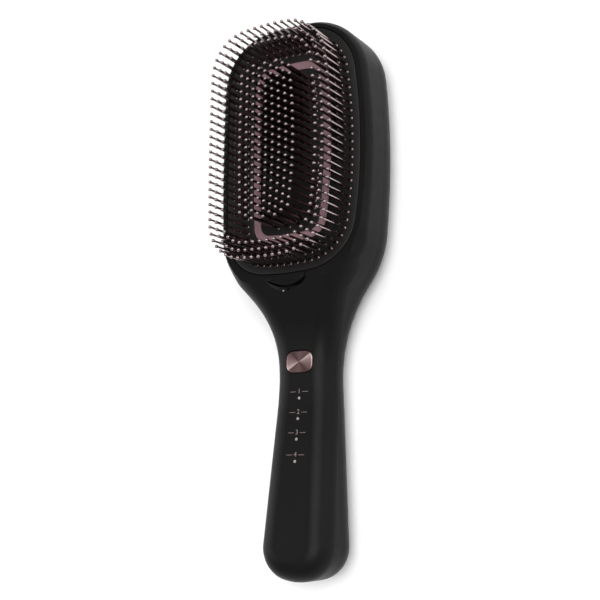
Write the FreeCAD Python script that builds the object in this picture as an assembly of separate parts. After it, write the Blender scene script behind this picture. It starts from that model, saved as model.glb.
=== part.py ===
import FreeCAD, Part
import os
from math import atan2, cos, degrees, hypot, radians, sin, sqrt, tan

V = FreeCAD.Vector

# Scalp massager brush, lying on its back.  Millimetres.
# Everything is drawn in the head's frame: the origin is the middle of the bristle face,
# +X to the brush's right, +Y towards the top of the head, +Z along the bristles.
# save() moves each piece to the brush's frame: origin at the middle of the box's underside.

# ---- overall sizes ----
head_half_width = 36.3
head_half_height = 56.0
head_side_radius = 335.0
head_end_radius = 125.0
head_corner_radius = 25.5
butt_distance = 175.0
back_depth = 28.3
side_turn = 5.0
shoulder_distance = 45.8
shoulder_radius = 40.0
neck_half_width = 13.0
neck_distance = 94.3
neck_radius = 62.0
butt_half_width = 15.9
butt_corner_radius = 13.4
butt_end_radius = 25.0
butt_turn = 10.0

# ---- front line of the side view ----
face_radius = 355.0
rim_rise = 4.0
crest_end = 44.0
crown_distance = 49.0
crown_radius = 12.0
throat_distance = 74.5
throat_depth = 6.95
throat_radius = 48.0
grip_break_distance = 102.0
grip_break_radius = 80.0
grip_rise = 0.125

# ---- shells ----
wall = 2.0
front_round = 8.5
shoulder_round = 13.0
shoulder_round_start = 36.0
shoulder_round_middle = 57.0
shoulder_round_end = 90.0
inner_sharpening = 0.14
back_round = 11.5
seam_depth = 14.0
seam_gap = 0.12
module_seam = 0.3
tongue_height = 1.0
tongue_wall = 0.9
tongue_root = 1.5
fit_gap = 0.1
slide_gap = 0.3
contact_gap = 0.05
rest_clearance = 0.02
press_gap = 0.01

# ---- bristle head ----
module_inset = 3.8
module_gap = 0.35
module_depth = 9.5
module_wall = 1.5
rest_gap = 0.3
plate_depth = 3.4
carrier_depth = 1.2
light_ring_inset = 17.35
light_ring_width = 3.3
lamp_count = 12
window_radius = 1.5
lamp_side = 1.6
lamp_height = 0.8
lamp_board_margin = 1.5
lamp_board_thickness = 0.8

# ---- bristles ----
ring_insets = (7.6, 10.8, 14.0)
staggered_ring = 2
pin_pitch = 3.3
pin_length = 18.3
pin_root_radius = 0.56
pin_tip_radius = 0.42
root_share = 0.7
ball_radius = 0.76
comb_width = 2.0
comb_depth = 1.4
comb_split = 0.3
long_split = 30.0
short_split = 13.0
island_columns = 9
island_column_pitch = 3.19
island_rows = 21
island_row_pitch = 3.22
island_bow = 0.15
island_extra = 1.3

# ---- dock ----
dock_thickness = 2.4
well_wall = 2.5
column_radius = 3.5
screw_x = 21.0
screw_y = 36.0
screw_radius = 1.2
screw_head_radius = 2.3
screw_head_height = 1.2
screw_length = 8.0
cross_reach = 1.2
cross_width = 0.6
cross_depth = 0.7
magnet_radius = 3.0
magnet_height = 1.2
magnet_x = 12.0
magnet_y = 44.5
contact_x = (-7.5, -2.5, 2.5, 7.5)
contact_y = -38.0
contact_radius = 1.0
contact_tail = 3.0
pad_radius = 1.6
pad_height = 0.58
module_screw_x = 20.5
module_screw_y = 26.0
module_screw_radius = 0.9
module_head_radius = 1.9
module_head_height = 0.8
boss_radius = 2.4
boss_floor = 0.5
base_chamfer = 0.6

# ---- controls ----
button_distance = 87.3
button_width = 12.4
button_height = 9.2
button_corner = 3.4
button_gap = 0.25
button_proud = 0.3
button_travel = 0.5
button_edge_round = 0.5
stem_radius = 1.6
flange_width = 0.9
flange_thickness = 0.8
lamp_distances = (102.2, 110.6, 118.9, 127.8)
lamp_radius = 0.6
pipe_foot_radius = 1.2
pipe_foot_height = 1.0
led_width = 1.6
led_length = 0.8
led_height = 0.6
# controller, driver and capacitor: left edge, distance from the board's start, width, length, height
board_chips = ((-6.5, 34.0, 4.0, 6.0, 1.0), (2.6, 25.0, 4.0, 4.0, 1.0), (2.8, 41.0, 3.4, 4.0, 1.4))
board_depth = 14.0
board_thickness = 1.0
board_half_width = 8.0
board_start = 79.0
board_end = 133.0
plunger_radius = 1.5
plunger_top = -10.8
flange_gap = 0.15
switch_gap = 0.1
switch_floor = 0.25
switch_half_width = 3.0

# ---- release tab ----
tab_half_width = 8.9
tab_tail = 2.0
tab_shoulder = 1.8
tab_drop = 2.5
tab_travel = 0.8
tab_gap = 0.12
tab_proud = 0.4
tab_edge_round = 0.5
tab_foot_depth = 4.0
lip_thickness = 1.9
lip_overhang = 1.0
scoop_radius = 15.2
scoop_lead = 1.45
scoop_height = 16.0
tooth_half_width = 3.0
tooth_height = 1.0
tooth_gap = 0.6
backing_width = 3.0
backing_reach = 6.5
catch_half_width = 4.0
catch_slot_inset = 1.0
catch_slot_depth = 3.0
catch_lead = 1.5
leaf_thickness = 0.4
leaf_width = 5.0
leaf_foot = 1.6
nose_reach = 2.3
nose_depth = 6.6
nose_half_height = 1.6
groove_half_width = 3.5
groove_half_height = 1.4
groove_reach = 1.1
bead_radius = 0.65
bead_x = -2.6
bead_offset = 2.0
bead_top = 1.95
bead_foot = -4.4
pinhole_x = -0.6
pinhole_offset = 1.4
pinhole_radius = 0.5

# ---- motor ----
motor_radius = 6.0
motor_nose_radius = 2.5
motor_nose_length = 1.0
motor_bore_length = 13.0
motor_length = 20.0
motor_start = 8.0
motor_depth = 19.4
shaft_radius = 1.0
shaft_running_gap = 0.05
weight_radius = 5.0
weight_length = 7.0
weight_hub_radius = 2.0
shaft_end_gap = 1.0
holder_start = 3.0
holder_length = 12.0
holder_wall = 2.5
holder_rise = 4.0

# ---- power ----
battery_width = 16.0
battery_length = 46.0
battery_thickness = 7.5
battery_start = 111.0
battery_corner = 2.0
cradle_height = 2.2
cradle_wall = 1.1
cradle_rise = 3.0
socket_width = 8.9
socket_height = 3.2
socket_length = 7.3
socket_depth = 16.4
socket_wall = 0.35
socket_floor = 1.0
socket_corner = 1.55
socket_recess = 1.2
socket_tongue = 0.7
socket_tongue_width = 6.4
socket_tongue_inset = 0.8
socket_board_width = 13.0
socket_board_length = 7.5
socket_board_inset = 3.4

head_top = head_half_height
shift = V(0, (butt_distance - head_top) / 2, back_depth)
module_bottom = -module_depth
dock_top = module_bottom - rest_gap
dock_bottom = dock_top - dock_thickness
back_inside = wall - back_depth
button_top = -throat_depth + button_proud
flange_top = -throat_depth - wall - flange_gap
board_top = -board_depth + board_thickness
switch_top = plunger_top - button_travel - switch_gap
well_inset = module_inset - module_gap
tab_shoulder_y = -head_half_height + well_inset - tab_shoulder
tab_bottom_y = tab_shoulder_y - tab_drop
catch_y = -head_half_height + module_inset - catch_lead
front_clear = 20.0
lamp_board_top = -plate_depth - carrier_depth - slide_gap
weight_start = motor_start - 2 * motor_nose_length - weight_length
reach = 400.0


def save(shape, node):
    """Write one piece to its own file, in the brush's frame."""
    piece = shape.copy()
    piece.translate(shift)
    piece.exportStep("parts/" + node + ".step")


def box(low, high):
    """Box between two corners."""
    size = V(*high) - V(*low)
    return Part.makeBox(size.x, size.y, size.z, V(*low))


def rod(x, y, low, high, radius):
    """Upright cylinder between two heights."""
    return Part.makeCylinder(radius, high - low, V(x, y, low))


def prism(wire, low, high):
    """Upright prism on a closed flat outline."""
    base = Part.Face(wire)
    base.translate(V(0, 0, low))
    return base.extrude(V(0, 0, high - low))


def rounded_path(corners):
    """Edges through (x, y, radius) corners; the first and last corners are plain ends."""
    points = [V(x, y, 0) for x, y, radius in corners]
    edges = []
    last = points[0]
    for before, here, after, corner in zip(points, points[1:], points[2:], corners[1:]):
        to_before = (before - here).normalize()
        to_after = (after - here).normalize()
        length = corner[2] / tan(to_before.getAngle(to_after) / 2)
        bisector = (to_before + to_after).normalize()
        centre = here + bisector * hypot(corner[2], length)
        start = here + to_before * length
        if last.distanceToPoint(start) > 0.001:
            edges.append(Part.LineSegment(last, start).toShape())
        last = here + to_after * length
        edges.append(Part.Arc(start, centre - bisector * corner[2], last).toShape())
    if last.distanceToPoint(points[-1]) > 0.001:
        edges.append(Part.LineSegment(last, points[-1]).toShape())
    return edges


def polar(centre, radius, angle):
    """Point on a circle."""
    return centre + V(radius * cos(angle), radius * sin(angle), 0)


def head_quarter(inset):
    """Centres, radii and end angles of the three arcs of one quarter of the head's outline."""
    side_radius = head_side_radius - inset
    end_radius = head_end_radius - inset
    corner_radius = head_corner_radius - inset
    side = V(head_half_width - head_side_radius, 0, 0)
    end = V(0, head_half_height - head_end_radius, 0)
    near = side_radius - corner_radius
    far = end_radius - corner_radius
    span = side.distanceToPoint(end)
    along = (near ** 2 - far ** 2 + span ** 2) / (2 * span)
    direction = (end - side).normalize()
    across = V(-direction.y, direction.x, 0)
    corner = side + direction * along + across * sqrt(near ** 2 - along ** 2)
    low = atan2(corner.y - side.y, corner.x - side.x)
    high = atan2(corner.y - end.y, corner.x - end.x)
    return (side, side_radius), (corner, corner_radius), (end, end_radius), low, high


def head_arcs(inset, across, along):
    """Arcs of one quarter of the head's outline; across and along are +1 or -1 and choose the quarter."""
    side, corner, end, low, high = head_quarter(inset)
    arcs = []
    for (centre, radius), first, last in ((side, 0, low), (corner, low, high), (end, high, radians(90))):
        points = [polar(centre, radius, angle) for angle in (first, (first + last) / 2, last)]
        arcs.append(Part.Arc(*[V(across * p.x, along * p.y, 0) for p in points]).toShape())
    return arcs


def head_loop(inset):
    """Closed outline of the head, moved inwards."""
    arcs = [arc for across in (1, -1) for along in (1, -1) for arc in head_arcs(inset, across, along)]
    return Part.Wire(Part.sortEdges(arcs)[0])


def head_band(outer_inset, inner_inset, low, high):
    """Upright ring between two insets of the head's outline."""
    return prism(head_loop(outer_inset), low, high).cut(
        prism(head_loop(inner_inset), low - 1, high + 1))


def brush_outline():
    """Closed outline of the whole brush, seen along the bristles."""
    bow = head_side_radius * tan(radians(side_turn) / 2)
    shoulder = head_half_width - (shoulder_distance - bow) * tan(radians(side_turn))
    butt_slope = (butt_half_width + 0.5) * tan(radians(butt_turn))
    butt_tip = butt_distance + butt_end_radius * (1 / cos(radians(butt_turn)) - 1)
    right = [
        (head_half_width, 0, 0),
        (head_half_width, -bow, head_side_radius),
        (shoulder, -shoulder_distance, shoulder_radius),
        (neck_half_width - 0.4, -neck_distance + 20.4, neck_radius),
        (butt_half_width + 0.5, -butt_tip + butt_slope, butt_corner_radius),
        (0, -butt_tip, butt_end_radius),
    ]
    left = [(-x, y, radius) for x, y, radius in reversed(right[:-1])]
    lower = rounded_path(right + left)
    upper = head_arcs(0, 1, 1) + head_arcs(0, -1, 1)
    return Part.Wire(Part.sortEdges(upper + lower)[0])


def outline_inset(inset):
    return brush_outline().makeOffset2D(-inset) if inset else brush_outline()


def side_profile(inset):
    """Closed outline of the side view, as a face in the YZ plane, extruded across the brush."""
    crest_radius = face_radius - rim_rise
    slope = crest_end / sqrt(crest_radius ** 2 - crest_end ** 2)

    def crest(along):
        return V(along, face_radius - sqrt(crest_radius ** 2 - along ** 2), 0)

    start, crest_finish = crest(head_top + 10), crest(-crest_end)
    run = butt_distance + 10 - grip_break_distance
    front = [
        (crest_finish.x, crest_finish.y, 0),
        (-crown_distance, crest_finish.y + (crown_distance - crest_end) * slope, crown_radius),
        (-throat_distance, -throat_depth, throat_radius),
        (-grip_break_distance, -throat_depth, grip_break_radius),
        (-butt_distance - 10, run * grip_rise - throat_depth, 0),
    ]
    edges = [Part.Arc(start, crest(0), crest_finish).toShape()] + rounded_path(front)
    finish = V(front[-1][0], front[-1][1], 0)
    low_start = V(start.x, -back_depth - 30, 0)
    low_finish = V(finish.x, -back_depth - 30, 0)
    edges.append(Part.LineSegment(start, low_start).toShape())
    edges.append(Part.LineSegment(low_start, low_finish).toShape())
    edges.append(Part.LineSegment(low_finish, finish).toShape())
    wire = Part.Wire(Part.sortEdges(edges)[0])
    if inset:
        wire = wire.makeOffset2D(-inset)
    face = Part.Face(wire)
    solid = face.extrude(V(0, 0, 2 * reach))
    # drawn as (along, up), then turned so that the drawn X, Y and Z are the brush's Y, Z and X
    solid.rotate(V(0, 0, 0), V(1, 1, 1), 120)
    solid.translate(V(-reach, 0, 0))
    return solid


def front_rounding(along, inset):
    """Radius of the front edge at a place along the brush: wider on the shoulders.

    Inside the shell it is a little sharper on the shoulders, so that it still fits the narrower neck.
    """
    if -along < shoulder_round_middle:
        share = (-along - shoulder_round_start) / (shoulder_round_middle - shoulder_round_start)
    else:
        share = (shoulder_round_end + along) / (shoulder_round_end - shoulder_round_middle)
    share = min(max(share, 0), 1)
    gain = (shoulder_round - front_round) * share ** 2 * (3 - 2 * share)
    return front_round - inset + gain * (1 - inner_sharpening * inset)


def leaning(edge, solid):
    """Steepness of the two faces that meet in an edge: 0 for a wall, 1 for a floor."""
    middle = edge.valueAt((edge.FirstParameter + edge.LastParameter) / 2)
    faces = solid.ancestorsOfType(edge, Part.Face)
    return sorted(abs(face.normalAt(*face.Surface.parameter(middle)).z) for face in faces)


def round_front(block, inset):
    """Round the block's front edges with the radius that each place calls for."""
    document = FreeCAD.newDocument("rounding")
    base = document.addObject("Part::Feature", "Block")
    base.Shape = block
    rounding = document.addObject("Part::Fillet", "Rounding")
    rounding.Base = base
    rows = []
    for number, edge in enumerate(base.Shape.Edges, 1):
        lean = leaning(edge, base.Shape)
        if edge.BoundBox.ZMin > -seam_depth and lean[0] < 0.02 and lean[1] > 0.5:
            ends = [edge.valueAt(edge.FirstParameter), edge.valueAt(edge.LastParameter)]
            if edge.Orientation == "Reversed":
                ends.reverse()
            rows.append((number, front_rounding(ends[0].y, inset), front_rounding(ends[1].y, inset)))
    rounding.Edges = rows
    document.recompute()
    rounded = rounding.Shape.copy()
    FreeCAD.closeDocument(document.Name)
    return rounded


def envelope(inset):
    """The brush's outer form, moved inwards by an even amount."""
    block = prism(outline_inset(inset), inset - back_depth, reach / 10).common(side_profile(inset))
    under = [edge for edge in block.Edges if edge.BoundBox.ZMax < inset - back_depth + 0.01]
    block = block.makeFillet(back_round - inset, under)
    return round_front(block, inset).cut(face_cylinder(inset))


def face_cylinder(depth):
    """Everything above the hollow bristle face, moved down by a depth."""
    return Part.makeCylinder(face_radius + depth, 2 * reach, V(-reach, 0, face_radius), V(1, 0, 0))


def face_height(along):
    """Height of the bristle face at a distance from its middle."""
    return face_radius - sqrt(face_radius ** 2 - along ** 2)


def above(depth, solid):
    """The part of a solid that lies above the face moved down by a depth."""
    return solid.common(face_cylinder(depth))


def below(depth, solid):
    """The part of a solid that lies below the face moved down by a depth."""
    return solid.cut(face_cylinder(depth))


# ---------------------------------------------------------------- shells

outer = envelope(0)
inner = envelope(wall)


def half_space(low, high):
    """Everything between two heights."""
    return box((-reach, -reach, low), (reach, reach, high))


def beyond(along):
    """Everything past a place along the brush, towards the butt."""
    return box((-reach, -reach, -reach), (reach, along, reach))


def columns():
    """Places of the four dock screws."""
    return [(x, y) for x in (-screw_x, screw_x) for y in (-screw_y, screw_y)]


def squircle(width, height, corner, low, high):
    """Upright prism with rounded corners on the button's centre."""
    block = box((-width / 2, -button_distance - height / 2, low),
                (width / 2, -button_distance + height / 2, high))
    upright = [edge for edge in block.Edges if edge.BoundBox.ZLength > (high - low) / 2]
    return block.makeFillet(corner, upright)


def crescent(half_width, grow, low, high):
    """Upright prism of the release tab's outline, grown by an even amount; its bottom edge is an arc."""
    left = V(-half_width - grow, tab_shoulder_y, low)
    right = V(half_width + grow, tab_shoulder_y, low)
    bottom = V(0, tab_shoulder_y - tab_drop - grow, low)
    up = V(0, tab_shoulder + tab_tail, 0)
    wire = Part.Wire([
        Part.Arc(left, bottom, right).toShape(),
        Part.LineSegment(right, right + up).toShape(),
        Part.LineSegment(right + up, left + up).toShape(),
        Part.LineSegment(left + up, left).toShape(),
    ])
    return Part.Face(wire).extrude(V(0, 0, high - low))


def along_travel(solid):
    """The room that a solid sweeps when it moves with the release tab."""
    moved = solid.copy()
    moved.translate(V(0, -tab_travel, 0))
    return solid.fuse(moved)


def scoop_point(offset, across=0.0):
    """Place in the finger scoop, at a distance below the tab's bottom edge."""
    return V(across, tab_bottom_y - offset, 0)


def front_shell():
    """Front half of the housing, with the well that takes the bristle head."""
    shell = outer.cut(inner)
    well_floor = dock_top
    rim = prism(head_loop(well_inset - well_wall), well_floor, front_clear)
    shell = shell.fuse(rim.common(outer))
    backing = box((-tab_half_width - backing_width, tab_bottom_y - backing_reach, well_floor + wall),
                  (tab_half_width + backing_width, -head_half_height + well_inset, front_clear))
    shell = shell.fuse(backing.common(outer))
    shell = shell.common(half_space(seam_gap / 2 - seam_depth, front_clear))
    shell = shell.cut(prism(head_loop(well_inset), well_floor - 1, front_clear))
    foot_slot = crescent(tab_half_width, tab_gap, -tab_foot_depth - slide_gap, front_clear)
    foot_slot = foot_slot.cut(beyond(tab_bottom_y + lip_overhang - tab_gap))
    shell = shell.cut(along_travel(foot_slot))
    lip_slot = crescent(tab_half_width, tab_gap, -tab_foot_depth, front_clear)
    shell = shell.cut(along_travel(lip_slot).cut(envelope(lip_thickness + fit_gap)))
    shell = shell.cut(Part.makeSphere(scoop_radius, scoop_point(-scoop_lead) + V(0, 0, scoop_height)))
    catch_slot = box((-catch_half_width, -head_half_height + catch_slot_inset, well_floor - 1),
                     (catch_half_width, -head_half_height + well_inset + wall, -catch_slot_depth))
    shell = shell.cut(catch_slot)
    shell = shell.cut(squircle(button_width + 2 * button_gap, button_height + 2 * button_gap,
                               button_corner + button_gap, flange_top, 0))
    for distance in lamp_distances:
        shell = shell.cut(rod(0, -distance, board_top, 0, lamp_radius + contact_gap))
    bead = scoop_point(bead_offset, bead_x)
    shell = shell.cut(rod(bead.x, bead.y, bead_foot - contact_gap, front_clear, bead_radius + contact_gap))
    pinhole = scoop_point(pinhole_offset, pinhole_x)
    shell = shell.cut(rod(pinhole.x, pinhole.y, bead_foot, front_clear, pinhole_radius))
    # step for the back cover's tongue
    step = prism(outline_inset(wall - tongue_wall - fit_gap),
                 -seam_depth, -seam_depth + tongue_height + slide_gap)
    return shell.cut(step)


def back_cover():
    """Back half of the housing, with the columns that take the dock screws."""
    cover = outer.cut(inner).common(half_space(-back_depth - 1, -seam_depth - seam_gap / 2))
    tongue = prism(outline_inset(wall - tongue_wall), -seam_depth - tongue_root, -seam_depth + tongue_height)
    tongue = tongue.cut(prism(outline_inset(wall), -seam_depth - 2 * tongue_root, 0))
    cover = cover.fuse(tongue)
    for x, y in columns():
        cover = cover.fuse(rod(x, y, back_inside - wall / 2, dock_bottom, column_radius))
        cover = cover.cut(rod(x, y, back_inside + wall, dock_bottom + 1, screw_radius + contact_gap))
    socket_hole = socket_block(socket_width + 2 * fit_gap, socket_height + 2 * fit_gap, socket_corner,
                               -butt_distance - socket_length, -butt_distance + socket_length)
    return cover.cut(socket_hole).removeSplitter()


def socket_block(width, height, corner, start, end):
    """Rounded bar along the brush at the charging socket's height."""
    low = -socket_depth - height / 2
    block = box((-width / 2, start, low), (width / 2, end, low + height))
    along = [edge for edge in block.Edges if edge.BoundBox.YLength > (end - start) / 2]
    return block.makeFillet(corner, along)


# ---------------------------------------------------------------- dock, under the bristle head

def dock_plate():
    """Floor of the well: carries the magnets and contacts and is clamped by four screws."""
    plate = prism(head_loop(wall + slide_gap), dock_bottom, dock_top)
    for x, y in columns():
        plate = plate.cut(rod(x, y, dock_bottom - 1, dock_top + 1, screw_radius + fit_gap))
        seat = dock_top - screw_head_height - fit_gap
        plate = plate.cut(rod(x, y, seat, dock_top + 1, screw_head_radius + fit_gap))
    for x in contact_x:
        plate = plate.cut(rod(x, contact_y, dock_bottom - 1, dock_top + 1, contact_radius + contact_gap))
    for x in (-magnet_x, magnet_x):
        seat = dock_top - magnet_height - fit_gap
        plate = plate.cut(rod(x, magnet_y, seat, dock_top + 1, magnet_radius + contact_gap))
    return plate


def dock_screws():
    """Four screws that clamp the dock plate and the front shell to the back cover."""
    screws = []
    for x, y in columns():
        top = dock_top - fit_gap
        head = rod(x, y, top - screw_head_height, top, screw_head_radius)
        low = top - cross_depth
        cross = box((x - cross_reach, y - cross_width / 2, low),
                    (x + cross_reach, y + cross_width / 2, top + 1))
        cross = cross.fuse(box((x - cross_width / 2, y - cross_reach, low),
                               (x + cross_width / 2, y + cross_reach, top + 1)))
        shank = rod(x, y, top - screw_head_height - screw_length, low, screw_radius)
        screws.append(head.cut(cross).fuse(shank))
    return Part.makeCompound(screws)


def dock_contacts():
    """Four spring contacts that touch the pads under the bristle head."""
    pins = []
    for x in contact_x:
        plunger = rod(x, contact_y, dock_bottom - contact_tail, dock_top, contact_radius)
        collar = rod(x, contact_y, dock_bottom - contact_tail, dock_bottom - contact_gap, pad_radius)
        pins.append(plunger.fuse(collar))
    return Part.makeCompound(pins)


def discs(low, thickness):
    """Pair of magnets at the head's top end."""
    pair = [rod(x, magnet_y, low, low + thickness, magnet_radius) for x in (-magnet_x, magnet_x)]
    return Part.makeCompound(pair)


# ---------------------------------------------------------------- release tab and its catch

def release_tab():
    """Crescent lip that is pushed towards the grip to free the bristle head."""
    lip = crescent(tab_half_width, 0, -tab_foot_depth, front_clear).common(envelope(-tab_proud))
    edge_line = []
    for edge in lip.Edges:
        lean = leaning(edge, lip)
        on_arc = edge.BoundBox.YMax < tab_shoulder_y + fit_gap and edge.BoundBox.ZMin > -tab_foot_depth + 1
        if on_arc and lean[0] < 0.02 and lean[1] > 0.5:
            edge_line.append(edge)
    lip = lip.makeFillet(tab_edge_round, edge_line)
    lip = lip.cut(prism(head_loop(well_inset - fit_gap), -front_clear, front_clear))
    lip = lip.cut(envelope(lip_thickness).common(beyond(tab_bottom_y + lip_overhang)))
    tooth = box((-tooth_half_width, catch_y + tooth_gap, -tab_foot_depth - tooth_height),
                (tooth_half_width, catch_y + 2 * tooth_gap, -tab_foot_depth + tooth_height))
    return lip.fuse(tooth)


def latch_spring():
    """Bent steel strip whose nose snaps into the bristle head's side."""
    points = [
        (catch_y, dock_top + contact_gap),
        (catch_y, -nose_depth - nose_half_height),
        (catch_y + nose_reach, -nose_depth),
        (catch_y, nose_half_height - nose_depth),
        (catch_y, -tab_foot_depth - tooth_height / 2),
    ]
    strip = None
    for (y0, z0), (y1, z1) in zip(points, points[1:]):
        path = [V(0, y0, z0), V(0, y1, z1)]
        along = (path[1] - path[0]).normalize()
        across = V(0, -along.z, along.y) * (leaf_thickness / 2)
        corners = [path[0] - across, path[1] - across, path[1] + across, path[0] + across]
        leaf = Part.Face(Part.makePolygon(corners + corners[:1])).extrude(V(leaf_width, 0, 0))
        leaf.translate(V(-leaf_width / 2, 0, 0))
        bend = Part.makeCylinder(leaf_thickness / 2, leaf_width, V(-leaf_width / 2, y1, z1), V(1, 0, 0))
        leaf = leaf.fuse(bend)
        strip = leaf if strip is None else strip.fuse(leaf)
    foot = box((-leaf_width / 2, catch_y - leaf_thickness / 2, dock_top),
               (leaf_width / 2, catch_y + leaf_foot, dock_top + leaf_thickness))
    strip = strip.fuse(foot)
    return strip.common(half_space(dock_top, 0)).removeSplitter()


def guide_pin():
    """Polished pin with a domed end in the scoop under the release tab."""
    place = scoop_point(bead_offset, bead_x)
    dome = bead_top - bead_radius
    ball = Part.makeSphere(bead_radius, V(place.x, place.y, dome))
    return rod(place.x, place.y, bead_foot, dome, bead_radius).fuse(ball)


# ---------------------------------------------------------------- power button and mode lamps

def power_button():
    """Key cap with a retaining flange and a stem that reaches the switch."""
    cap = squircle(button_width, button_height, button_corner, flange_top - flange_thickness, button_top)
    rim = [edge for edge in cap.Edges if edge.BoundBox.ZMin > button_top - 0.01]
    cap = cap.makeFillet(button_edge_round, rim)
    flange = squircle(button_width + 2 * flange_width, button_height + 2 * flange_width,
                      button_corner + flange_width, flange_top - flange_thickness, flange_top)
    flange = flange.common(envelope(wall + flange_gap))
    stem = rod(0, -button_distance, plunger_top, flange_top, stem_radius)
    return cap.fuse(flange).fuse(stem)


def tact_switch():
    """Push switch on the board, with the bore that guides its plunger."""
    body = box((-switch_half_width, -button_distance - switch_half_width, board_top),
               (switch_half_width, -button_distance + switch_half_width, switch_top))
    return body.cut(rod(0, -button_distance, board_top + switch_floor, 0, plunger_radius + contact_gap))


def switch_plunger():
    """Plunger of the push switch; it moves with the key cap."""
    low = board_top + switch_floor + button_travel + switch_gap
    return rod(0, -button_distance, low, plunger_top, plunger_radius)


def main_board():
    """Control board under the key and the mode lamps."""
    board = box((-board_half_width, -board_end, -board_depth), (board_half_width, -board_start, board_top))
    upright = [edge for edge in board.Edges if edge.BoundBox.ZLength > board_thickness / 2]
    return board.makeFillet(1.0, upright)


def board_parts():
    """Controller, driver and capacitor on the control board."""
    chips = []
    for x, y, width, length, height in board_chips:
        chips.append(box((x, -board_start - y - length, board_top),
                         (x + width, -board_start - y, board_top + height)))
    return Part.makeCompound(chips)


def light_pipes():
    """Four clear rods that carry the mode lamps' light through the front shell."""
    pipes = []
    low = board_top + led_height + slide_gap
    for distance in lamp_distances:
        pipe = rod(0, -distance, low, 0, lamp_radius).common(outer)
        pipes.append(pipe.fuse(rod(0, -distance, low, low + pipe_foot_height, pipe_foot_radius)))
    return Part.makeCompound(pipes)


def status_leds():
    """One lamp chip under each light pipe."""
    chips = []
    for distance in lamp_distances:
        chips.append(box((-led_width / 2, -distance - led_length / 2, board_top),
                         (led_width / 2, -distance + led_length / 2, board_top + led_height)))
    return Part.makeCompound(chips)


# ---------------------------------------------------------------- motor

def motor_can():
    """Vibration motor's can, lying along the brush, with the bore its shaft runs in."""
    can = Part.makeCylinder(motor_radius, motor_length, V(0, motor_start, -motor_depth), V(0, 1, 0))
    nose = Part.makeCylinder(motor_nose_radius, motor_nose_length,
                             V(0, motor_start - motor_nose_length, -motor_depth), V(0, 1, 0))
    bore = Part.makeCylinder(shaft_radius + shaft_running_gap, motor_bore_length,
                             V(0, motor_start - 2 * motor_nose_length, -motor_depth), V(0, 1, 0))
    return can.fuse(nose).cut(bore)


def motor_shaft():
    """Shaft of the vibration motor."""
    length = weight_length + motor_bore_length - shaft_end_gap
    return Part.makeCylinder(shaft_radius, length, V(0, weight_start, -motor_depth), V(0, 1, 0))


def eccentric_weight():
    """Half-round weight on the shaft, whose spin makes the head vibrate."""
    start = V(0, weight_start, -motor_depth)
    half = Part.makeCylinder(weight_radius, weight_length, start, V(0, 1, 0))
    half = half.common(half_space(-motor_depth - weight_radius, -motor_depth))
    hub = Part.makeCylinder(weight_hub_radius, weight_length, start, V(0, 1, 0))
    hole = Part.makeCylinder(shaft_radius + press_gap, weight_length + 2, start - V(0, 1, 0), V(0, 1, 0))
    return half.fuse(hub).cut(hole)


def motor_holder():
    """Saddle that stands on the back cover and straps the motor down."""
    low = back_inside + rest_clearance
    side = motor_radius + holder_wall
    start = motor_start + holder_start
    block = box((-side, start, low), (side, start + holder_length, -motor_depth + holder_rise))
    saddle = Part.makeCylinder(motor_radius + contact_gap, 2 * motor_length,
                               V(0, motor_start - motor_length / 2, -motor_depth), V(0, 1, 0))
    return block.cut(saddle)


# ---------------------------------------------------------------- power

def battery():
    """Flat rechargeable cell in the grip."""
    low = back_inside + cradle_height
    cell = box((-battery_width / 2, -battery_start - battery_length, low),
               (battery_width / 2, -battery_start, low + battery_thickness))
    along = [edge for edge in cell.Edges if edge.BoundBox.YLength > battery_length / 2]
    return cell.makeFillet(battery_corner, along)


def battery_cradle():
    """Tray that seats the cell on the rounded inside of the back cover."""
    side = battery_width / 2 + fit_gap
    top = fit_gap - battery_start
    low = -battery_start - battery_length - fit_gap
    floor = back_inside + cradle_height
    tray = box((-side - cradle_wall, low - cradle_wall, back_inside - 1),
               (side + cradle_wall, top + cradle_wall, floor + cradle_rise))
    hollow = box((-side, low, floor), (side, top, floor + 2 * cradle_rise))
    return tray.cut(hollow).common(envelope(wall + contact_gap))


def charging_socket():
    """Metal shell of the charging socket with its tongue, open at the butt."""
    start = -butt_distance + socket_recess
    body = socket_block(socket_width, socket_height, socket_corner, start, start + socket_length)
    mouth = socket_block(socket_width - 2 * socket_wall, socket_height - 2 * socket_wall,
                         socket_corner - socket_wall, start - 1, start + socket_length - socket_floor)
    tongue = box((-socket_tongue_width / 2, start + socket_tongue_inset, -socket_depth - socket_tongue / 2),
                 (socket_tongue_width / 2, start + socket_length - socket_floor / 2,
                  -socket_depth + socket_tongue / 2))
    return body.cut(mouth).fuse(tongue)


def socket_board():
    """Small board that carries the charging socket."""
    start = -butt_distance + socket_board_inset
    top = -socket_depth - socket_height / 2 - rest_clearance
    return box((-socket_board_width / 2, start, top - board_thickness),
               (socket_board_width / 2, start + socket_board_length, top))


# ---------------------------------------------------------------- bristle head

def ring_path(inset, staggered):
    """Pin places around a ring and the gaps after them, evenly spaced, from the right-hand side.

    A staggered ring starts half a pitch further round.
    """
    loop = head_loop(inset)
    count = 2 * round(loop.Length / pin_pitch / 2)
    edges = Part.sortEdges(loop.Edges)[0]
    halves = 20
    fine = Part.Wire(edges).discretize(Number=2 * halves * count + 1)[:-1]
    first = max(range(len(fine)), key=lambda i: fine[i].x - abs(fine[i].y))
    steps = [first + halves * i for i in range(2 * count)]
    places = [fine[step % len(fine)] for step in steps]
    if staggered:
        places = places[1:] + places[:1]
    return places[::2], places[1::2]


def pin(place, extra=0.0):
    """One tapered bristle with a ball tip, rooted in its comb."""
    root = face_height(place.y) - comb_depth * root_share
    tip = face_height(place.y) + pin_length + extra
    shaft = Part.makeCone(pin_root_radius, pin_tip_radius, tip - root, V(place.x, place.y, root))
    return shaft.fuse(Part.makeSphere(ball_radius, V(place.x, place.y, tip)))


def layer(solid, depth):
    """The part of a solid between the face and a depth below it."""
    return below(0, above(depth, solid))


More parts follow.
